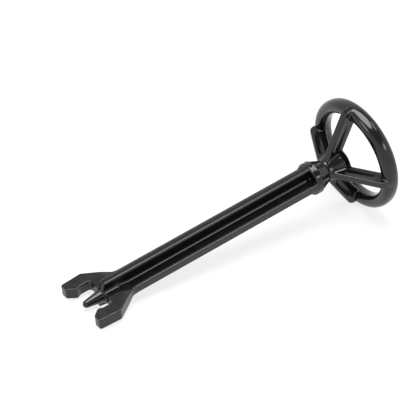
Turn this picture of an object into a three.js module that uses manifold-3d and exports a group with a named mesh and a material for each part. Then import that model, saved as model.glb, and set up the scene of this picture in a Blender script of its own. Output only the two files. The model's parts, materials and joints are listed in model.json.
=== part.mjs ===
// Long two-jaw fork tool with a ring handle.
// Local axes: X from the jaw tips to the ring, Y across the fork plate, Z through the plate.
// The whole tool is tipped so that it rests on the jaw tips and on the lowest point of the ring.
import * as THREE from 'three';
import { mergeVertices } from 'three/addons/utils/BufferGeometryUtils.js';
import Module from 'manifold-3d';

const wasm = await Module();
wasm.setup();

// clearance drawn between neighbouring sub-parts (mm)
const GAP = 0.3;

// hand ring
const RING_X = 280.8;
const RING_RADIUS = 44;
const RING_HALF_RADIAL = 6.1;
const RING_HALF_AXIAL = 7.2;
const RING_SQUARENESS = 2.2;
const RING_SEGMENTS = 96;
const RING_SECTION_POINTS = 22;

// fork head
const FORK_THICKNESS = 9.8;
const FORK_TIP_X = -1.8;
const FORK_TIP_HALF_WIDTH = 27.3;
const FORK_SHOULDER_X = 18;
const FORK_SHOULDER_HALF_WIDTH = 28.4;
const FORK_END_X = 43;
const FORK_TAPER_END_X = 40;
const FORK_TAPER_END_ROUND = 3;
const FORK_SHOULDER_ROUND = 1.5;
const FORK_TIP_ROUND = 2;
const FORK_FADE_START_X = 29;
const TIP_FLAT_INNER_Y = 20;
const TIP_FLAT_INNER_ROUND = 1.4;
const LIP_X = 5.3;
const LIP_Y = 14.5;
const LIP_ROUND = 1;
const NOTCH_WALL_START_X = 9.5;
const NOTCH_WALL_START_ROUND = 1;
const NOTCH_HALF_WIDTH = 16.4;
const NOTCH_END_X = 19.2;
const NOTCH_CORNER_RADIUS = 3.2;
const FORK_EDGE_ROUND = 0.6;

// centre pin
const PIN_TIP_X = 0.9;
const PIN_TIP_RADIUS = 3.2;
const PIN_BASE_RADIUS = 5.3;
const PIN_BASE_X = 17.4;
const PIN_BARREL_RADIUS = 6.5;
const PIN_BARREL_START_X = 19;
const PIN_BARREL_END_X = 34;
const PIN_BARREL_END_ROUND = 4.5;
const ROUND_SEGMENTS = 40;

// shaft of cruciform section
const WEB_HALF_WIDTH = 13.8;
const WEB_THICKNESS = 6.8;
const WEB_EDGE_ROUND = 0.7;
const RIB_WIDTH = 6.6;
const RIB_HEIGHT = 13.3;
const RIB_ROOT_FILLET = 2;
const RIB_EDGE_ROUND = 1.8;
// front end of each rib as two (x, height) corners; the lower one runs out to clear the ground
const UPPER_RIB_NOSE = [[18.4, 5.5], [20.6, RIB_HEIGHT]];
const LOWER_RIB_NOSE = [[14.3, 7.35], [52.5, RIB_HEIGHT]];

// collar and hub
const COLLAR_START_X = 228.6;
const COLLAR_END_X = 235.6;
const COLLAR_RADIUS = 14.4;
const COLLAR_EDGE_ROUND = 1.6;
const HUB_NECK_RADIUS = 10;
const HUB_NECK_X = 247;
const HUB_BOSS_RADIUS = 12.4;
const HUB_BOSS_X = 260;
const HUB_END_X = 266;
const HUB_EDGE_ROUND = 1.4;

// spokes, drawn as a side profile (x, distance from the shaft axis)
const SPOKE_WIDTH = 6;
const SPOKE_ROOT_R = 9;
const SPOKE_TIP_R = 49.5;
const SPOKE_FRONT_X = [247.3, 270.3];
const SPOKE_REAR_ROOT_X = 262.8;
const SPOKE_REAR_INNER = [264.8, 13.6];
const SPOKE_REAR_OUTER = [279.2, 38];
const SPOKE_REAR_TIP_X = 281;
const SPOKE_FRONT_TIP_ROUND = 4.5;
const SPOKE_POCKET_DEPTH = 0.4;
const SPOKE_POCKET_HALF_WIDTH = 3.2;
const SPOKE_POCKET_FROM = [258, 18];
const SPOKE_POCKET_TO = [268.6, 36];
const SPOKE_EDGE_ROUND = 0.7;

const CURVE_STEPS = 5;
const BEVEL_STEPS = 2;
const RESTING_PASSES = 40;
const MERGE_DISTANCE = 1e-4;
const FAR_OUT = 60;
const QUARTER_TURN = Math.PI / 2;

// ---------- helpers for closed solids ----------

function toSolid(geometry) {
  const bare = geometry.clone();
  bare.deleteAttribute('normal');
  bare.deleteAttribute('uv');
  const merged = mergeVertices(bare, MERGE_DISTANCE);
  const mesh = new wasm.Mesh({
    numProp: 3,
    vertProperties: Float32Array.from(merged.attributes.position.array),
    triVerts: Uint32Array.from(merged.index.array),
  });
  return new wasm.Manifold(mesh);
}

function toGeometry(solid) {
  const mesh = solid.getMesh();
  const geometry = new THREE.BufferGeometry();
  geometry.setAttribute('position', new THREE.BufferAttribute(Float32Array.from(mesh.vertProperties), 3));
  geometry.setIndex(new THREE.BufferAttribute(Uint32Array.from(mesh.triVerts), 1));
  geometry.computeVertexNormals();
  return geometry;
}

// extrudes a shape between two depths, with its edges rounded when `round` is given
function extrude(shape, from, to, round = 0) {
  const geometry = new THREE.ExtrudeGeometry(shape, {
    depth: to - from - 2 * round,
    curveSegments: CURVE_STEPS,
    bevelEnabled: round > 0,
    bevelThickness: round,
    bevelSize: round,
    bevelOffset: -round,
    bevelSegments: BEVEL_STEPS,
  });
  geometry.translate(0, 0, from + round);
  return geometry;
}

// shape drawn in (x, y)
function alongZ(shape, halfDepth, round) {
  return toSolid(extrude(shape, -halfDepth, halfDepth, round));
}

// shape drawn in (x, z), centred on y = `middle`
function alongY(shape, halfDepth, round, middle = 0) {
  const geometry = extrude(shape, -halfDepth, halfDepth, round);
  geometry.rotateX(QUARTER_TURN);
  geometry.translate(0, middle, 0);
  return toSolid(geometry);
}

// shape drawn in (y, z)
function alongX(shape, from, to) {
  const geometry = extrude(shape, from, to);
  geometry.applyMatrix4(new THREE.Matrix4().set(0, 0, 1, 0, 1, 0, 0, 0, 0, 1, 0, 0, 0, 0, 0, 1));
  return toSolid(geometry);
}

// profile given as (x, radius) pairs with rising x, from the axis back to the axis
function turned(profile, segments = ROUND_SEGMENTS) {
  const points = profile.map(([x, radius]) => new THREE.Vector2(radius, x));
  const geometry = new THREE.LatheGeometry(points, segments);
  geometry.rotateZ(-QUARTER_TURN);
  return toSolid(geometry);
}

function polygon(points) {
  return new THREE.Shape(points.map(([x, y]) => new THREE.Vector2(x, y)));
}

// point on the side from corner `index` to corner `other`, as far along as the corner's round
function besideCorner(corners, index, other) {
  const [x, y, round] = corners[index];
  const [otherX, otherY] = corners[(other + corners.length) % corners.length];
  const side = new THREE.Vector2(otherX - x, otherY - y).normalize();
  return side.multiplyScalar(round).add(new THREE.Vector2(x, y));
}

// closed outline through corners given as (x, y, round)
function roundedPolygon(corners) {
  const shape = new THREE.Shape();
  corners.forEach(([x, y, round], index) => {
    const start = besideCorner(corners, index, index - 1);
    const end = besideCorner(corners, index, index + 1);
    if (index === 0) {
      shape.moveTo(start.x, start.y);
    } else {
      shape.lineTo(start.x, start.y);
    }
    if (round > 0) {
      shape.quadraticCurveTo(x, y, end.x, end.y);
    }
  });
  return shape;
}

function roundedRectangle(halfX, halfY, radius) {
  const shape = new THREE.Shape();
  shape.moveTo(halfX, -halfY + radius);
  shape.lineTo(halfX, halfY - radius);
  shape.absarc(halfX - radius, halfY - radius, radius, 0, QUARTER_TURN);
  shape.absarc(-halfX + radius, halfY - radius, radius, QUARTER_TURN, 2 * QUARTER_TURN);
  shape.absarc(-halfX + radius, -halfY + radius, radius, 2 * QUARTER_TURN, 3 * QUARTER_TURN);
  shape.absarc(halfX - radius, -halfY + radius, radius, 3 * QUARTER_TURN, 4 * QUARTER_TURN);
  return shape;
}

// quarter-round corner between a face at x = `x` and a side of radius `radius`
function cornerArc(x, radius, round, rising) {
  const arc = [];
  for (let step = 0; step <= CURVE_STEPS; step += 1) {
    const angle = (step / CURVE_STEPS) * QUARTER_TURN;
    const reach = rising ? 1 - Math.cos(angle) : Math.sin(angle);
    const height = rising ? Math.sin(angle) : Math.cos(angle);
    const start = rising ? x : x - round;
    arc.push([start + reach * round, radius - round + height * round]);
  }
  return arc;
}

function node(name, solid, material) {
  const mesh = new THREE.Mesh(toGeometry(solid), material);
  mesh.name = name;
  return mesh;
}

// ---------- materials ----------

function blackPlastic(roughness) {
  return new THREE.MeshStandardMaterial({ color: 0x0e0e0f, roughness, metalness: 0 });
}

function smoothPlastic() {
  return blackPlastic(0.24);
}

function gripPlastic() {
  return blackPlastic(0.3);
}

function forkPlastic() {
  return blackPlastic(0.34);
}

// ---------- hand ring ----------

function ringSolid(extra) {
  const section = [];
  for (let step = 0; step <= RING_SECTION_POINTS; step += 1) {
    const angle = (step / RING_SECTION_POINTS) * 2 * Math.PI;
    const power = 2 / RING_SQUARENESS;
    const across = Math.sign(Math.cos(angle)) * Math.abs(Math.cos(angle)) ** power;
    const along = Math.sign(Math.sin(angle)) * Math.abs(Math.sin(angle)) ** power;
    const radius = RING_RADIUS + across * (RING_HALF_RADIAL + extra);
    section.push([RING_X + along * (RING_HALF_AXIAL + extra), radius]);
  }
  return turned(section, RING_SEGMENTS);
}

// ---------- fork head and pin ----------

function forkOutline() {
  const farSide = [
    [FORK_END_X, WEB_HALF_WIDTH, 0],
    [FORK_TAPER_END_X, WEB_HALF_WIDTH, FORK_TAPER_END_ROUND],
    [FORK_SHOULDER_X, FORK_SHOULDER_HALF_WIDTH, FORK_SHOULDER_ROUND],
    [FORK_TIP_X, FORK_TIP_HALF_WIDTH, FORK_TIP_ROUND],
    [FORK_TIP_X, TIP_FLAT_INNER_Y, TIP_FLAT_INNER_ROUND],
    [LIP_X, LIP_Y, LIP_ROUND],
    [NOTCH_WALL_START_X, NOTCH_HALF_WIDTH, NOTCH_WALL_START_ROUND],
    [NOTCH_END_X, NOTCH_HALF_WIDTH, NOTCH_CORNER_RADIUS],
  ];
  const nearSide = farSide.map(([x, y, round]) => [x, -y, round]).reverse();
  return roundedPolygon([...farSide, ...nearSide]);
}

// side view of the plate: full thickness from `start`, thinning to the web at its rear end
function forkSide(extra, start) {
  const thick = FORK_THICKNESS / 2 + extra;
  const thin = WEB_THICKNESS / 2 + extra;
  return polygon([
    [start, -thick],
    [FORK_FADE_START_X, -thick],
    [FORK_END_X + extra, -thin],
    [FORK_END_X + extra, thin],
    [FORK_FADE_START_X, thick],
    [start, thick],
  ]);
}

function pinSolid(extra) {
  const tipCentre = PIN_TIP_X + PIN_TIP_RADIUS;
  const profile = [[PIN_TIP_X - extra, 0]];
  for (let step = 1; step <= CURVE_STEPS; step += 1) {
    const angle = (step / CURVE_STEPS) * QUARTER_TURN;
    const reach = PIN_TIP_RADIUS + extra;
    profile.push([tipCentre - reach * Math.cos(angle), reach * Math.sin(angle)]);
  }
  profile.push([PIN_BASE_X, PIN_BASE_RADIUS + extra]);
  profile.push([PIN_BARREL_START_X, PIN_BARREL_RADIUS + extra]);
  profile.push(...cornerArc(PIN_BARREL_END_X + extra, PIN_BARREL_RADIUS + extra, PIN_BARREL_END_ROUND, false));
  profile.push([PIN_BARREL_END_X + extra, 0]);
  return turned(profile);
}

function forkHeadSolid() {
  const plate = alongZ(forkOutline(), FORK_THICKNESS / 2, FORK_EDGE_ROUND);
  const side = alongY(forkSide(0, -FAR_OUT), FAR_OUT, 0);
  return plate.intersect(side).subtract(pinSolid(GAP));
}

// ---------- shaft ----------

function webSolid() {
  const section = roundedRectangle(WEB_HALF_WIDTH, WEB_THICKNESS / 2, WEB_EDGE_ROUND);
  return alongX(section, FORK_END_X + GAP, COLLAR_START_X - GAP).subtract(pinSolid(GAP));
}

// upright rib with a fillet on both sides of its root
function ribSection() {
  const half = RIB_WIDTH / 2;
  const root = WEB_THICKNESS / 2 + GAP;
  const fillet = RIB_ROOT_FILLET;
  const round = RIB_EDGE_ROUND;
  const shape = new THREE.Shape();
  shape.moveTo(-half - fillet, root);
  shape.lineTo(half + fillet, root);
  shape.absarc(half + fillet, root + fillet, fillet, -QUARTER_TURN, -2 * QUARTER_TURN, true);
  shape.lineTo(half, RIB_HEIGHT - round);
  shape.absarc(half - round, RIB_HEIGHT - round, round, 0, QUARTER_TURN);
  shape.absarc(-half + round, RIB_HEIGHT - round, round, QUARTER_TURN, 2 * QUARTER_TURN);
  shape.lineTo(-half, root + fillet);
  shape.absarc(-half - fillet, root + fillet, fillet, 0, -QUARTER_TURN, true);
  return shape;
}

function ribSide(nose) {
  return polygon([
    [nose[0][0], 0],
    [COLLAR_START_X - GAP, 0],
    [COLLAR_START_X - GAP, RIB_HEIGHT],
    nose[1],
    nose[0],
  ]);
}

// rib ending at `nose`, cut clear of the fork plate behind `plateStart` and of the pin
function ribSolid(nose, plateStart) {
  const body = alongX(ribSection(), 0, COLLAR_START_X - GAP);
  const side = alongY(ribSide(nose), FAR_OUT, 0);
  const plate = alongY(forkSide(GAP, plateStart), FAR_OUT, 0);
  return body.intersect(side).subtract(plate).subtract(pinSolid(GAP));
}

// ---------- collar, hub and spokes ----------

function collarSolid() {
  const profile = [[COLLAR_START_X, 0]];
  profile.push(...cornerArc(COLLAR_START_X, COLLAR_RADIUS, COLLAR_EDGE_ROUND, true));
  profile.push(...cornerArc(COLLAR_END_X, COLLAR_RADIUS, COLLAR_EDGE_ROUND, false));
  profile.push([COLLAR_END_X, 0]);
  return turned(profile);
}

function hubSolid(extra) {
  const start = COLLAR_END_X + GAP - extra;
  const end = HUB_END_X + extra;
  const profile = [[start, 0], [start, COLLAR_RADIUS - COLLAR_EDGE_ROUND + extra]];
  const waist = HUB_NECK_X - COLLAR_END_X;
  for (let step = 1; step <= CURVE_STEPS; step += 1) {
    const along = step / CURVE_STEPS;
    const fall = (COLLAR_RADIUS - COLLAR_EDGE_ROUND - HUB_NECK_RADIUS) * (1 - along) ** 2;
    profile.push([COLLAR_END_X + waist * along, HUB_NECK_RADIUS + fall + extra]);
  }
  const flare = HUB_BOSS_X - HUB_NECK_X;
  for (let step = 1; step <= CURVE_STEPS; step += 1) {
    const along = step / CURVE_STEPS;
    const rise = (HUB_BOSS_RADIUS - HUB_NECK_RADIUS) * (1 - Math.cos(along * Math.PI)) / 2;
    profile.push([HUB_NECK_X + flare * along, HUB_NECK_RADIUS + rise + extra]);
  }
  profile.push(...cornerArc(end, HUB_BOSS_RADIUS + extra, HUB_EDGE_ROUND, false));
  profile.push([end, 0]);
  return turned(profile);
}

function spokeProfile() {
  return roundedPolygon([
    [SPOKE_FRONT_X[0], SPOKE_ROOT_R, 0],
    [SPOKE_REAR_ROOT_X, SPOKE_ROOT_R, 0],
    [...SPOKE_REAR_INNER, 0],
    [...SPOKE_REAR_OUTER, 0],
    [SPOKE_REAR_TIP_X, SPOKE_TIP_R, 0],
    [SPOKE_FRONT_X[1], SPOKE_TIP_R, SPOKE_FRONT_TIP_ROUND],
  ]);
}

// long shallow pocket with round ends, drawn in the same view as the spoke profile
function pocketOutline() {
  const [x0, r0] = SPOKE_POCKET_FROM;
  const [x1, r1] = SPOKE_POCKET_TO;
  const lean = Math.atan2(r1 - r0, x1 - x0);
  const shape = new THREE.Shape();
  shape.absarc(x1, r1, SPOKE_POCKET_HALF_WIDTH, lean - QUARTER_TURN, lean + QUARTER_TURN);
  shape.absarc(x0, r0, SPOKE_POCKET_HALF_WIDTH, lean + QUARTER_TURN, lean + 3 * QUARTER_TURN);
  return shape;
}

function spokeSolid() {
  const flank = SPOKE_WIDTH / 2;
  return alongY(spokeProfile(), flank, SPOKE_EDGE_ROUND)
    .subtract(alongY(pocketOutline(), SPOKE_POCKET_DEPTH, 0, flank))
    .subtract(alongY(pocketOutline(), SPOKE_POCKET_DEPTH, 0, -flank))
    .subtract(hubSolid(GAP))
    .subtract(ringSolid(GAP));
}

// ---------- assembly ----------

// tip angle at which the ring and the lower edges of the jaw tips stand on one plane
function restingAngle() {
  const power = RING_SQUARENESS / (RING_SQUARENESS - 1);
  let angle = 0;
  for (let pass = 0; pass < RESTING_PASSES; pass += 1) {
    const radial = (RING_HALF_RADIAL * Math.cos(angle)) ** power;
    const axial = (RING_HALF_AXIAL * Math.sin(angle)) ** power;
    const drop = RING_RADIUS * Math.cos(angle) + (radial + axial) ** (1 / power);
    angle = Math.asin((drop - (FORK_THICKNESS / 2) * Math.cos(angle)) / (RING_X - FORK_TIP_X));
  }
  return angle;
}

const tool = new THREE.Group();
tool.name = 'ring_handle_fork_tool';
const pieces = new THREE.Group();
pieces.name = 'tool_axis';
tool.add(pieces);

pieces.add(node('hand_ring', ringSolid(0), gripPlastic()));
['spoke_top', 'spoke_near', 'spoke_bottom', 'spoke_far'].forEach((name, index) => {
  const spoke = node(name, spokeSolid(), smoothPlastic());
  spoke.rotation.x = index * QUARTER_TURN;
  pieces.add(spoke);
});
pieces.add(node('hub', hubSolid(0), smoothPlastic()));
pieces.add(node('collar', collarSolid(), smoothPlastic()));
pieces.add(node('shaft_web', webSolid(), smoothPlastic()));
pieces.add(node('shaft_rib_upper', ribSolid(UPPER_RIB_NOSE, -FAR_OUT), smoothPlastic()));
const lowerRib = node('shaft_rib_lower', ribSolid(LOWER_RIB_NOSE, NOTCH_END_X - GAP), smoothPlastic());
lowerRib.rotation.x = 2 * QUARTER_TURN;
pieces.add(lowerRib);
pieces.add(node('fork_head', forkHeadSolid(), forkPlastic()));
pieces.add(node('centre_pin', pinSolid(0), smoothPlastic()));

// tip the ring end up, then stand the tool on z = 0 with its footprint centred
pieces.rotation.y = -restingAngle();
tool.updateMatrixWorld(true);
const box = new THREE.Box3().setFromObject(tool, true);
const middle = box.getCenter(new THREE.Vector3());
pieces.position.set(-middle.x, -middle.y, -box.min.z);
tool.updateMatrixWorld(true);

export default tool;
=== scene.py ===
import json
from collections import namedtuple
from math import cos, radians, sin

import bmesh
import bpy
import numpy as np
from mathutils import Matrix, Vector


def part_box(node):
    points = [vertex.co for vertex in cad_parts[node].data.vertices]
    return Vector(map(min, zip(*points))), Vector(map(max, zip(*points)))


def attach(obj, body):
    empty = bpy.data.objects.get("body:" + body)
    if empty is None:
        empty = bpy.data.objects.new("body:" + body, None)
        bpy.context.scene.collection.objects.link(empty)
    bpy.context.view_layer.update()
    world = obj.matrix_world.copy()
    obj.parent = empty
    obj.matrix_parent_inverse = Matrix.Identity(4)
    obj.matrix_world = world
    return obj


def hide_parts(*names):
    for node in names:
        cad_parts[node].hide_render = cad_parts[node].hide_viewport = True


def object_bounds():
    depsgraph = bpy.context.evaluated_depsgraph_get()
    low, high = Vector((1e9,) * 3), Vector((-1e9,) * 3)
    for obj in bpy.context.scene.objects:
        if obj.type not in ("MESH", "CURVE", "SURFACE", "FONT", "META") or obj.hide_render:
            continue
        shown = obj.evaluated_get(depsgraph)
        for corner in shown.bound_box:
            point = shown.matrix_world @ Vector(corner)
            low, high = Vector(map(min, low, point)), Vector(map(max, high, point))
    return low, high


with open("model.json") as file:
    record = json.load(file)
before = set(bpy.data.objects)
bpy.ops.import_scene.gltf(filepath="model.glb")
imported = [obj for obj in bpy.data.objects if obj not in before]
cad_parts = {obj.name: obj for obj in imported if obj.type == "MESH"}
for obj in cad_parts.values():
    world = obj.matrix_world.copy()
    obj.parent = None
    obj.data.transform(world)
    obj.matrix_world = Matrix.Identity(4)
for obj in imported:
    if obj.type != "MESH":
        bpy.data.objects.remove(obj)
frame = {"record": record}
CAD_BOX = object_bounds()
MM = 1000.0

# Tool axes: X from the jaw tips to the ring, Y across the fork plate, Z through the plate.
# Lengths below are in millimetres along these axes.
MOUNTS = {mount["name"]: mount for mount in frame["record"]["mounts"]}
AXIS_X = np.array(MOUNTS["hub_rear_face"]["axis"]) / np.linalg.norm(MOUNTS["hub_rear_face"]["axis"])
JAW_TIP_X = -1.8
JAW_TIPS = [np.array(MOUNTS[name]["pos_m"]) for name in ("jaw_tip_face_far", "jaw_tip_face_near")]
ORIGIN = sum(JAW_TIPS) / 2 - AXIS_X * JAW_TIP_X / MM
AXIS_Y = np.array((0.0, 1.0, 0.0))
AXES = np.array((AXIS_X, AXIS_Y, np.cross(AXIS_X, AXIS_Y)))


def to_tool(point):
    return (np.array(point) - ORIGIN) @ AXES.T * MM


def to_world(points):
    return points / MM @ AXES + ORIGIN


def station(node):
    """Place of a CAD node's middle along the tool axis."""
    low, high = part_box(node)
    return to_tool((low + high) / 2)[0]


def half_width(node):
    low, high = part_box(node)
    return (high.y - low.y) / 2 * MM


# ---------- dimensions ----------

RING_HALF_RADIAL = 6.1
RING_HALF_AXIAL = 7.2
RING_POWER = 2.2
TINY = 1e-6
RING_X = station("hand_ring")
# keeps the smooth ring just inside the CAD ring's box
RING_INSET = 0.05
RING_RADIUS = half_width("hand_ring") - RING_HALF_RADIAL - RING_INSET

PLATE_HALF = 4.9
PLATE_END_X = 43
PLATE_FADE_X = 29
PLATE_EDGE_ROUND = 0.7
# the shoulder's corner before it is rounded, and how much narrower the jaws are at their tips
JAW_HALF_WIDTH = half_width("fork_head") + 0.2
JAW_TAPER = 1.1

PIN_BARREL_RADIUS = half_width("centre_pin")
# taper from one ball to another, as (x, radius), then the barrel as (start, end)
PIN_TIP = (4.1, 3.2)
PIN_BASE = (18.0, 5.3)
PIN_BARREL = (19.0, 34.0)
PIN_BARREL_ROUND = 1.6
PIN_BARREL_BLEND = 1.0
PIN_BLEND = 1.2

WEB_HALF_WIDTH = half_width("shaft_web")
WEB_HALF = 3.4
WEB_START_X = 41
WEB_EDGE_ROUND = 1.0
RIB_HALF_WIDTH = 3.3
RIB_HEIGHT = 13.3
RIB_EDGE_ROUND = 1.4
RIB_END_ROUND = 0.6
RIB_ROOT_BLEND = 1.6
# front end of each rib as two (x, height) corners
UPPER_RIB_NOSE = ((18.4, 5.5), (20.6, 13.3))
LOWER_RIB_NOSE = ((14.3, 7.35), (52.5, 13.3))

COLLAR_X = station("collar")
COLLAR_RADIUS = half_width("collar")
COLLAR_HALF_LENGTH = 3.5
COLLAR_EDGE_ROUND = 1.7
COLLAR_BLEND = 1.0
HUB_END_X = to_tool(MOUNTS["hub_rear_face"]["pos_m"])[0]
HUB_EDGE_ROUND = 1.4
HUB_BLEND = 1.5
# (distance behind the collar, radius)
HUB_PROFILE = ((-2, 14.2), (1, 13.6), (9, 10.0), (13, 9.8), (18, 10.6), (24, 12.4), (50, 12.4))
HUB_START = HUB_PROFILE[0][0]
HUB_STEP = 0.5
HUB_SMOOTHING = 7

SPOKE_HALF_WIDTH = 3.0
SPOKE_EDGE_ROUND = 0.9
# ends of the recess in a spoke's flank, as (x, distance from the axis)
SPOKE_RECESS = ((258, 18), (268.6, 36))
SPOKE_RECESS_HALF_WIDTH = 3.6
SPOKE_RECESS_SLOPE = 3.2
SPOKE_RECESS_DEPTH = 0.25
OPPOSITE_SPOKE_BLEND = 2.0
SPOKE_CROSS_BLEND = 2.5
SPOKE_BLEND = 3.0
RING_BLEND = 1.6

# corners as (x, y, round)
FORK_CORNERS = (
    (PLATE_END_X + 1, WEB_HALF_WIDTH, 0),
    (40, WEB_HALF_WIDTH, 3),
    (18, JAW_HALF_WIDTH, 1.5),
    (JAW_TIP_X, JAW_HALF_WIDTH - JAW_TAPER, 2),
    (JAW_TIP_X, 20, 1.4),
    (5.3, 14.5, 1.2),
    (9.5, 16.4, 1),
    (19.2, 16.4, 3.2),
)
# corners as (x, distance from the axis, round)
SPOKE_CORNERS = (
    (247.3, 9, 0),
    (263, 9, 0),
    (264.8, 13.6, 1),
    (279.2, 38, 1),
    (281, 49.5, 1),
    (270.3, 49.5, 4.5),
)


# ---------- distance to each part of the moulding, negative inside ----------

def rounded_outline(corners, steps=7):
    corners = np.array(corners, float)
    outline = []
    for index, (x, y, size) in enumerate(corners):
        here = np.array((x, y))
        if size == 0:
            outline.append(here)
            continue
        before = corners[index - 1, :2] - here
        after = corners[(index + 1) % len(corners), :2] - here
        start = here + before / np.linalg.norm(before) * size
        end = here + after / np.linalg.norm(after) * size
        for step in range(steps + 1):
            t = step / steps
            outline.append(start * (1 - t) ** 2 + here * 2 * t * (1 - t) + end * t * t)
    return np.array(outline)


FORK_OUTLINE = rounded_outline(FORK_CORNERS + tuple((x, -y, r) for x, y, r in reversed(FORK_CORNERS)))
SPOKE_OUTLINE = rounded_outline(SPOKE_CORNERS)


def outline_distance(outline, x, y):
    shape = np.broadcast(x, y).shape
    nearest = np.full(shape, np.inf)
    inside = np.zeros(shape, bool)
    for (ax, ay), (bx, by) in zip(outline, np.roll(outline, -1, axis=0)):
        ex, ey = bx - ax, by - ay
        px, py = x - ax, y - ay
        t = np.clip((px * ex + py * ey) / (ex * ex + ey * ey), 0, 1)
        nearest = np.minimum(nearest, (px - ex * t) ** 2 + (py - ey * t) ** 2)
        if ey:
            inside ^= ((ay <= y) != (by <= y)) & (x < ax + py * ex / ey)
    return np.where(inside, -1, 1) * np.sqrt(nearest)


def segment_distance(a, b, x, y):
    ex, ey = b[0] - a[0], b[1] - a[1]
    t = np.clip(((x - a[0]) * ex + (y - a[1]) * ey) / (ex * ex + ey * ey), 0, 1)
    return np.hypot(x - a[0] - ex * t, y - a[1] - ey * t)


def blended(a, b, size):
    """Union with a fillet where the two shapes meet."""
    nearness = np.maximum(size - np.abs(a - b), 0) / size
    return np.minimum(a, b) - nearness * nearness * size / 4


def overlap(a, b, edge_round):
    """Overlap of two shapes with the edge between them rounded."""
    a, b = a + edge_round, b + edge_round
    return np.minimum(np.maximum(a, b), 0) + np.hypot(np.maximum(a, 0), np.maximum(b, 0)) - edge_round


def smooth_step(t):
    t = np.clip(t, 0, 1)
    return t * t * (3 - 2 * t)


def hand_ring(x, y, z):
    """Ring whose section is a slightly squared ellipse."""
    axial = x - RING_X
    radial = np.hypot(y, z) - RING_RADIUS
    reach = np.maximum(np.hypot(axial, radial), TINY)
    powered = np.abs(axial / RING_HALF_AXIAL) ** RING_POWER + np.abs(radial / RING_HALF_RADIAL) ** RING_POWER
    return reach - reach / np.maximum(powered ** (1 / RING_POWER), TINY)


def spoke(x, along, across):
    near_recess = SPOKE_RECESS_HALF_WIDTH - segment_distance(*SPOKE_RECESS, x, along)
    recess = SPOKE_RECESS_DEPTH * smooth_step(near_recess / SPOKE_RECESS_SLOPE)
    flank = np.abs(across) - SPOKE_HALF_WIDTH + recess
    return overlap(outline_distance(SPOKE_OUTLINE, x, along), flank, SPOKE_EDGE_ROUND)


def spoke_top(x, y, z):
    return spoke(x, z, y)


def spoke_bottom(x, y, z):
    return spoke(x, -z, y)


def spoke_far(x, y, z):
    return spoke(x, y, z)


def spoke_near(x, y, z):
    return spoke(x, -y, z)


HUB_STATIONS = np.arange(HUB_START, HUB_PROFILE[-1][0], HUB_STEP)


def smoothed_hub_radii():
    radii = np.interp(HUB_STATIONS, *np.array(HUB_PROFILE).T)
    padded = np.pad(radii, HUB_SMOOTHING // 2, "edge")
    return np.convolve(padded, np.ones(HUB_SMOOTHING) / HUB_SMOOTHING, "valid")


HUB_RADII = smoothed_hub_radii()


def hub(x, y, z):
    behind_collar = x - COLLAR_X - COLLAR_HALF_LENGTH
    side = np.hypot(y, z) - np.interp(behind_collar, HUB_STATIONS, HUB_RADII)
    return overlap(side, np.maximum(x - HUB_END_X, HUB_START - behind_collar), HUB_EDGE_ROUND)


def collar(x, y, z):
    side = np.hypot(y, z) - COLLAR_RADIUS
    faces = np.abs(x - COLLAR_X) - COLLAR_HALF_LENGTH
    return overlap(side, faces, COLLAR_EDGE_ROUND)


def shaft_web(x, y, z):
    section = overlap(np.abs(y) - WEB_HALF_WIDTH, np.abs(z) - WEB_HALF, WEB_EDGE_ROUND)
    return np.maximum(section, np.maximum(WEB_START_X - x, x - COLLAR_X))


def rib(nose, x, y, height):
    """Rib from its nose to the collar, seen with its top toward rising height."""
    (x0, z0), (x1, z1) = nose
    length = np.hypot(x1 - x0, z1 - z0)
    before_nose = ((height - z0) * (x1 - x0) - (x - x0) * (z1 - z0)) / length
    profile = overlap(height - RIB_HEIGHT, before_nose, RIB_EDGE_ROUND)
    section = overlap(np.abs(y) - RIB_HALF_WIDTH, profile, RIB_EDGE_ROUND)
    ends = np.maximum(x - COLLAR_X, x0 - x)
    return overlap(section, np.maximum(ends, -height), RIB_END_ROUND)


def shaft_rib_upper(x, y, z):
    return rib(UPPER_RIB_NOSE, x, y, z)


def shaft_rib_lower(x, y, z):
    return rib(LOWER_RIB_NOSE, x, y, -z)


def fork_head(x, y, z):
    fade = smooth_step((x - PLATE_FADE_X) / (PLATE_END_X - PLATE_FADE_X))
    half = PLATE_HALF + (WEB_HALF - PLATE_HALF) * fade
    return overlap(outline_distance(FORK_OUTLINE, x, y), np.abs(z) - half, PLATE_EDGE_ROUND)


def centre_pin(x, y, z):
    """Round taper that runs into the barrel inside the fork head."""
    radius = np.hypot(y, z)
    (x0, r0), (x1, r1) = PIN_TIP, PIN_BASE
    slope = (r1 - r0) / (x1 - x0)
    t = np.clip((x - x0 + radius * slope) / (x1 - x0), 0, 1)
    taper = np.hypot(x - x0 - (x1 - x0) * t, radius) - (r0 + (r1 - r0) * t)
    start, end = PIN_BARREL
    faces = np.abs(x - (start + end) / 2) - (end - start) / 2
    barrel = overlap(radius - PIN_BARREL_RADIUS, faces, PIN_BARREL_ROUND)
    return blended(taper, barrel, PIN_BARREL_BLEND)


# ---------- the moulding, in three lengths along the axis ----------

def shaft_distance(x, y, z):
    ribs = np.minimum(shaft_rib_upper(x, y, z), shaft_rib_lower(x, y, z))
    return blended(shaft_web(x, y, z), ribs, RIB_ROOT_BLEND)


def fork_end_distance(x, y, z):
    ribs = np.minimum(shaft_rib_upper(x, y, z), shaft_rib_lower(x, y, z))
    flat = np.minimum(fork_head(x, y, z), shaft_web(x, y, z))
    return blended(blended(flat, ribs, RIB_ROOT_BLEND), centre_pin(x, y, z), PIN_BLEND)


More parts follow.
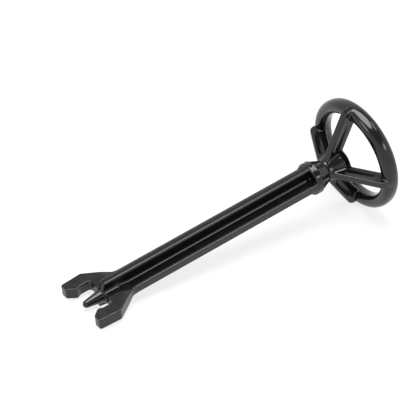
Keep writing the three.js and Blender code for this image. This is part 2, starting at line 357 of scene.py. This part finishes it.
def ring_end_distance(x, y, z):
    stem = blended(shaft_distance(x, y, z), collar(x, y, z), COLLAR_BLEND)
    stem = blended(stem, hub(x, y, z), HUB_BLEND)
    upright = blended(spoke_top(x, y, z), spoke_bottom(x, y, z), OPPOSITE_SPOKE_BLEND)
    level = blended(spoke_far(x, y, z), spoke_near(x, y, z), OPPOSITE_SPOKE_BLEND)
    spokes = blended(upright, level, SPOKE_CROSS_BLEND)
    joined = blended(blended(stem, spokes, SPOKE_BLEND), hand_ring(x, y, z), RING_BLEND)
    return np.maximum(joined, np.hypot(y, z) - RING_RADIUS - RING_HALF_RADIAL)


# grid steps: fine at both ends, long steps along the even middle of the shaft
FINE = 0.5
COARSE = 4.0
MARGIN = 1
SHAFT_FROM = 60.0
SHAFT_TO = 224.0
SHAFT_REACH = 16
RING_REACH = RING_RADIUS + RING_HALF_RADIAL + MARGIN

SHAFT_PARTS = (shaft_web, shaft_rib_upper, shaft_rib_lower)
FORK_PARTS = (fork_head, centre_pin)
RING_PARTS = (collar, hub, spoke_top, spoke_near, spoke_bottom, spoke_far, hand_ring)

# range along X, reach in Y and in Z, distance to the whole moulding there, parts found there
Length = namedtuple("Length", "start end reach_y reach_z distance parts")
LENGTHS = (
    Length(JAW_TIP_X - 2 * MARGIN, SHAFT_FROM, JAW_HALF_WIDTH + MARGIN, SHAFT_REACH,
           fork_end_distance, FORK_PARTS + SHAFT_PARTS),
    Length(SHAFT_FROM, SHAFT_TO, SHAFT_REACH, SHAFT_REACH, shaft_distance, SHAFT_PARTS),
    Length(SHAFT_TO, RING_X + RING_HALF_AXIAL + MARGIN, RING_REACH, RING_REACH,
           ring_end_distance, SHAFT_PARTS + RING_PARTS),
)


def by_length(points, value):
    """Calls value(length, points of that length) for each length and gathers the rows."""
    result = None
    for length in LENGTHS:
        low = -np.inf if length is LENGTHS[0] else length.start
        high = np.inf if length is LENGTHS[-1] else length.end
        chosen = (points[:, 0] >= low) & (points[:, 0] < high)
        rows = np.asarray(value(length, points[chosen]))
        if result is None:
            result = np.empty((len(points),) + rows.shape[1:], rows.dtype)
        result[chosen] = rows
    return result


def distance(points):
    return by_length(points, lambda length, rows: length.distance(*rows.T))


def slope_and_bend(points, step):
    """Gradient of the distance, and how strongly the surface bends outward."""
    middle = distance(points)
    gradient = np.empty_like(points)
    bend = -6 * middle
    for axis in range(3):
        shift = np.zeros(3)
        shift[axis] = step
        ahead, back = distance(points + shift), distance(points - shift)
        gradient[:, axis] = (ahead - back) / (2 * step)
        bend += ahead + back
    return middle, gradient, bend / step ** 2


# ---------- surface of the moulding ----------

FAR_AWAY = 9
# steps over which the slope is measured: to settle a vertex, for its normal, and for edge wear
SETTLE_STEP = 0.02
NORMAL_STEP = 0.05
WEAR_STEP = 0.6
SETTLE_ROUNDS = 2
LEAST_SLOPE = 0.25
LONGEST_MOVE = 0.8 * FINE


def sample_grid():
    """Distance to the moulding at the points of a box grid, positive wherever no length reaches."""
    xs = np.concatenate((
        np.arange(LENGTHS[0].start, SHAFT_FROM, FINE),
        np.arange(SHAFT_FROM, SHAFT_TO, COARSE),
        np.arange(SHAFT_TO, LENGTHS[-1].end + FINE, FINE),
    ))
    # shifted off centre so that no flat face lies exactly in a layer of the grid
    side = np.arange(-RING_REACH - FINE, RING_REACH + FINE, FINE) + FINE / 3
    values = np.full((len(xs), len(side), len(side)), FAR_AWAY, np.float32)
    for length in LENGTHS:
        i = np.flatnonzero((xs >= length.start) & (xs < length.end + FINE))
        j = np.flatnonzero(np.abs(side) <= length.reach_y)
        k = np.flatnonzero(np.abs(side) <= length.reach_z)
        block = length.distance(xs[i, None, None], side[None, j, None], side[None, None, k])
        values[np.ix_(i, j, k)] = block
    return xs, side, values


def surface_quads(xs, side, values):
    """Surface nets: a vertex in each grid cell that the surface crosses, a quad for each crossed edge."""
    grid = (xs, side, side)
    shape = np.array(values.shape)
    stride = np.array((shape[1] * shape[2], shape[2], 1))
    inside = values < 0
    crossings, cells = [], []
    for axis in range(3):
        lower = [slice(None)] * 3
        upper = [slice(None)] * 3
        lower[axis], upper[axis] = slice(None, -1), slice(1, None)
        index = np.array(np.nonzero(inside[tuple(lower)] != inside[tuple(upper)])).T
        beyond = index.copy()
        beyond[:, axis] += 1
        first, second = values[tuple(index.T)], values[tuple(beyond.T)]
        t = first / (first - second)
        point = np.array([grid[a][index[:, a]] for a in range(3)]).T
        point[:, axis] += t * (grid[axis][beyond[:, axis]] - grid[axis][index[:, axis]])
        flat = index @ stride
        u, v = stride[(axis + 1) % 3], stride[(axis + 2) % 3]
        around = np.stack((flat, flat - u, flat - u - v, flat - v), axis=1)
        outward = first < 0
        around[~outward] = around[~outward][:, ::-1]
        crossings.append(point)
        cells.append(around)
    crossings, cells = np.concatenate(crossings), np.concatenate(cells)
    used, quads = np.unique(cells, return_inverse=True)
    quads = quads.reshape(-1, 4)
    count = np.bincount(quads.ravel(), minlength=len(used))
    points = np.empty((len(used), 3))
    for axis in range(3):
        total = np.bincount(quads.ravel(), np.repeat(crossings[:, axis], 4), len(used))
        points[:, axis] = total / count
    return points, quads


def settle(points):
    """Moves the vertices onto the exact surface."""
    for _ in range(SETTLE_ROUNDS):
        value, gradient, _ = slope_and_bend(points, SETTLE_STEP)
        size = np.maximum((gradient ** 2).sum(axis=1), LEAST_SLOPE)
        move = gradient * (value / size)[:, None]
        excess = np.maximum(np.linalg.norm(move, axis=1) / LONGEST_MOVE, 1)
        points = points - move / excess[:, None]
    return points


PART_NAMES = sorted({part.__name__ for length in LENGTHS for part in length.parts})


def nearest_part(length, centres):
    """Name index of the part each face belongs to."""
    distances = np.array([part(*centres.T) for part in length.parts])
    names = np.array([PART_NAMES.index(part.__name__) for part in length.parts])
    return names[distances.argmin(axis=0)]


def build_piece(name, points, normals, bend, quads):
    """Mesh object of some of the faces, with smooth normals and its bend kept for edge wear."""
    used, local = np.unique(quads, return_inverse=True)
    mesh = bpy.data.meshes.new(name)
    mesh.from_pydata(to_world(points[used]).tolist(), [], local.reshape(-1, 4).tolist())
    mesh.normals_split_custom_set_from_vertices((normals[used] @ AXES).tolist())
    mesh.attributes.new("edge", "FLOAT", "POINT").data.foreach_set("value", bend[used])
    piece = bpy.data.objects.new(name, mesh)
    bpy.context.collection.objects.link(piece)
    return piece


def build_pieces():
    points, quads = surface_quads(*sample_grid())
    points = settle(points)
    _, normals, _ = slope_and_bend(points, NORMAL_STEP)
    normals /= np.linalg.norm(normals, axis=1)[:, None]
    _, _, bend = slope_and_bend(points, WEAR_STEP)
    part = by_length(points[quads].mean(axis=1), nearest_part)
    pieces = {}
    for index, name in enumerate(PART_NAMES):
        pieces[name] = build_piece(name + "_skin", points, normals, bend, quads[part == index])
    return pieces


# ---------- camera ----------

# direction of view from +Y toward +X, downward tilt and roll, in degrees
VIEW_AZIMUTH = 38.598
VIEW_ELEVATION = 35.422
VIEW_ROLL = 3.308
# aim beside and above the middle of the tool, and distance, in metres
AIM_LEFT = 0.02455
AIM_UP = 0.00259
VIEW_DISTANCE = 2.0302
SENSOR_WIDTH = 36
LENS_LENGTH = 225.1

def make_camera():
    """Camera aimed near the middle of the CAD box."""
    low, high = CAD_BOX
    centre = (low + high) / 2
    azimuth = radians(VIEW_AZIMUTH)
    elevation = radians(VIEW_ELEVATION)
    roll = radians(VIEW_ROLL)
    forward = Vector((sin(azimuth) * cos(elevation), cos(azimuth) * cos(elevation), -sin(elevation)))
    level_right = Vector((cos(azimuth), -sin(azimuth), 0))
    level_up = level_right.cross(forward)
    right = level_right * cos(roll) + level_up * sin(roll)
    up = level_up * cos(roll) - level_right * sin(roll)
    aim = centre - right * AIM_LEFT + up * AIM_UP
    turn = Matrix((right, up, -forward)).transposed().to_4x4()
    data = bpy.data.cameras.new("photo_camera")
    data.sensor_width = SENSOR_WIDTH
    data.lens = LENS_LENGTH
    data.clip_end = 10 * VIEW_DISTANCE
    camera = bpy.data.objects.new("photo_camera", data)
    camera.matrix_world = Matrix.Translation(aim - forward * VIEW_DISTANCE) @ turn
    bpy.context.collection.objects.link(camera)
    bpy.context.scene.camera = camera


make_camera()


# ---------- materials ----------

CLEAN_BLACK = (0.0030, 0.0030, 0.0033, 1)
WORN_BLACK = (0.016, 0.016, 0.017, 1)
EDGE_WEAR = 0.55
WEAR_ROUGHNESS = 0.22
GRAIN_HEIGHT = 0.00002
WAVE_HEIGHT = 0.00006
# each plastic: roughness, and how strong its scuffs are
FINISHES = {
    "ring_plastic": (0.13, 0.25),
    "body_plastic": (0.12, 0.2),
    "fork_plastic": (0.17, 0.5),
}

def make_plastic(name, roughness, scuffs):
    """Black moulded plastic: fine grain, slight sink waves, worn edges and scattered scuffs."""
    material = bpy.data.materials.new(name)
    material.use_nodes = True
    nodes, links = material.node_tree.nodes, material.node_tree.links
    shader = nodes["Principled BSDF"]
    shader.inputs["IOR"].default_value = 1.5

    def add(kind, **settings):
        node = nodes.new(kind)
        for key, value in settings.items():
            setattr(node, key, value)
        return node

    def noise(scale, detail, stretch=(1, 1, 1)):
        mapping = add("ShaderNodeMapping")
        mapping.inputs["Scale"].default_value = stretch
        links.new(place.outputs["Object"], mapping.inputs["Vector"])
        node = add("ShaderNodeTexNoise")
        node.inputs["Scale"].default_value = scale
        node.inputs["Detail"].default_value = detail
        links.new(mapping.outputs["Vector"], node.inputs["Vector"])
        return node.outputs["Fac"]

    def spread(value, from_low, from_high, low, high):
        node = add("ShaderNodeMapRange")
        node.interpolation_type = "SMOOTHSTEP"
        node.inputs["From Min"].default_value = from_low
        node.inputs["From Max"].default_value = from_high
        node.inputs["To Min"].default_value = low
        node.inputs["To Max"].default_value = high
        links.new(value, node.inputs["Value"])
        return node.outputs["Result"]

    def combine(operation, a, b):
        node = add("ShaderNodeMath", operation=operation)
        for socket, value in zip(node.inputs, (a, b)):
            if isinstance(value, float):
                socket.default_value = value
            else:
                links.new(value, socket)
        return node.outputs["Value"]

    place = add("ShaderNodeTexCoord")
    edge = add("ShaderNodeAttribute", attribute_name="edge")
    worn_edge = combine("MULTIPLY", spread(edge.outputs["Fac"], 0.35, 1.3, 0.0, 1.0),
                        spread(noise(260, 4), 0.35, 0.7, 0.15, 1.0))
    scuff = combine("MULTIPLY", spread(noise(700, 5, (0.25, 1, 1)), 0.6, 0.75, 0.0, scuffs),
                    spread(noise(60, 2), 0.45, 0.65, 0.0, 1.0))
    wear = combine("MAXIMUM", combine("MULTIPLY", worn_edge, EDGE_WEAR), scuff)

    colour = add("ShaderNodeMix", data_type="RGBA")
    colour.inputs["A"].default_value = CLEAN_BLACK
    colour.inputs["B"].default_value = WORN_BLACK
    links.new(wear, colour.inputs["Factor"])
    links.new(colour.outputs["Result"], shader.inputs["Base Color"])

    uneven = spread(noise(120, 3), 0.3, 0.7, roughness * 0.75, roughness * 1.35)
    rougher = combine("MULTIPLY", wear, WEAR_ROUGHNESS)
    links.new(combine("ADD", uneven, rougher), shader.inputs["Roughness"])

    grain = add("ShaderNodeBump")
    grain.inputs["Strength"].default_value = 0.25
    grain.inputs["Distance"].default_value = GRAIN_HEIGHT
    links.new(noise(2600, 3), grain.inputs["Height"])
    waves = add("ShaderNodeBump")
    waves.inputs["Strength"].default_value = 0.5
    waves.inputs["Distance"].default_value = WAVE_HEIGHT
    links.new(noise(160, 2), waves.inputs["Height"])
    links.new(grain.outputs["Normal"], waves.inputs["Normal"])
    links.new(waves.outputs["Normal"], shader.inputs["Normal"])
    return material


SLOT_OF = {row["node"]: row["material_slot"] for row in frame["record"]["subparts"]}
PLASTICS = {slot: make_plastic(slot + "_look", *finish) for slot, finish in FINISHES.items()}

for node_name, piece in build_pieces().items():
    piece.data.materials.append(PLASTICS[SLOT_OF[node_name]])
    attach(piece, "root")
    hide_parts(node_name)


# ---------- floor and light ----------

FLOOR_HALF_SIZE = 3
FLOOR_COLOUR = (0.2, 0.2, 0.2, 1)
FLOOR_GLOW = 0.78
WALL_LIGHT = 1.0
CEILING_LIGHT = 0.3
# the walls darken between these heights, measured along a slightly leaning upright
DARKENING = (0.5, 0.78)
LEAN = (-0.06, -0.1, 1)
# each light: azimuth and elevation (degrees), distance and size (metres), brightness as seen
LIGHTS = {
    "overhead": (90, 84, 1.2, (1.1, 1.1), 4.4),
    "side": (178, 33, 1.3, (0.5, 0.35), 4.0),
    "rear": (-62, 31, 1.3, (0.35, 0.25), 3.0),
    "second": (-20, 57, 1.3, (0.45, 0.2), 3.0),
}

def make_floor():
    """Pale table that glows a little, so that shadows stay faint."""
    mesh = bpy.data.meshes.new("floor")
    builder = bmesh.new()
    bmesh.ops.create_grid(builder, x_segments=1, y_segments=1, size=FLOOR_HALF_SIZE)
    builder.to_mesh(mesh)
    builder.free()
    material = bpy.data.materials.new("pale_floor")
    material.use_nodes = True
    shader = material.node_tree.nodes["Principled BSDF"]
    shader.inputs["Base Color"].default_value = FLOOR_COLOUR
    shader.inputs["Roughness"].default_value = 0.9
    shader.inputs["Specular IOR Level"].default_value = 0.1
    shader.inputs["Emission Color"].default_value = (1, 1, 1, 1)
    shader.inputs["Emission Strength"].default_value = FLOOR_GLOW
    mesh.materials.append(material)
    floor = bpy.data.objects.new("floor", mesh)
    bpy.context.collection.objects.link(floor)


def make_softbox(name, azimuth, elevation, away, size, radiance):
    """Oval light seen from the tool at the given direction, with the given brightness."""
    a, e = radians(azimuth), radians(elevation)
    centre = (CAD_BOX[0] + CAD_BOX[1]) / 2
    outward = Vector((cos(a) * cos(e), sin(a) * cos(e), sin(e)))
    data = bpy.data.lights.new(name, "AREA")
    data.shape = "ELLIPSE"
    data.size, data.size_y = size
    data.energy = 4 * size[0] * size[1] * radiance
    light = bpy.data.objects.new(name, data)
    light.location = centre + outward * away
    light.rotation_euler = outward.to_track_quat("Z", "Y").to_euler()
    bpy.context.collection.objects.link(light)


def make_room():
    """Pale walls that turn dark toward the ceiling."""
    world = bpy.data.worlds.new("studio")
    bpy.context.scene.world = world
    world.use_nodes = True
    nodes, links = world.node_tree.nodes, world.node_tree.links
    place = nodes.new("ShaderNodeTexCoord")
    lean = nodes.new("ShaderNodeVectorMath")
    lean.operation = "DOT_PRODUCT"
    lean.inputs[1].default_value = LEAN
    height = nodes.new("ShaderNodeMapRange")
    height.interpolation_type = "SMOOTHSTEP"
    height.inputs["From Min"].default_value = DARKENING[0]
    height.inputs["From Max"].default_value = DARKENING[1]
    height.inputs["To Min"].default_value = WALL_LIGHT
    height.inputs["To Max"].default_value = CEILING_LIGHT
    links.new(place.outputs["Generated"], lean.inputs[0])
    links.new(lean.outputs["Value"], height.inputs["Value"])
    links.new(height.outputs["Result"], nodes["Background"].inputs["Strength"])
    nodes["Background"].inputs["Color"].default_value = (1, 1, 1, 1)


make_floor()
make_room()
for light_name, setting in LIGHTS.items():
    make_softbox(light_name, *setting)
bpy.context.scene.view_settings.view_transform = "Standard"
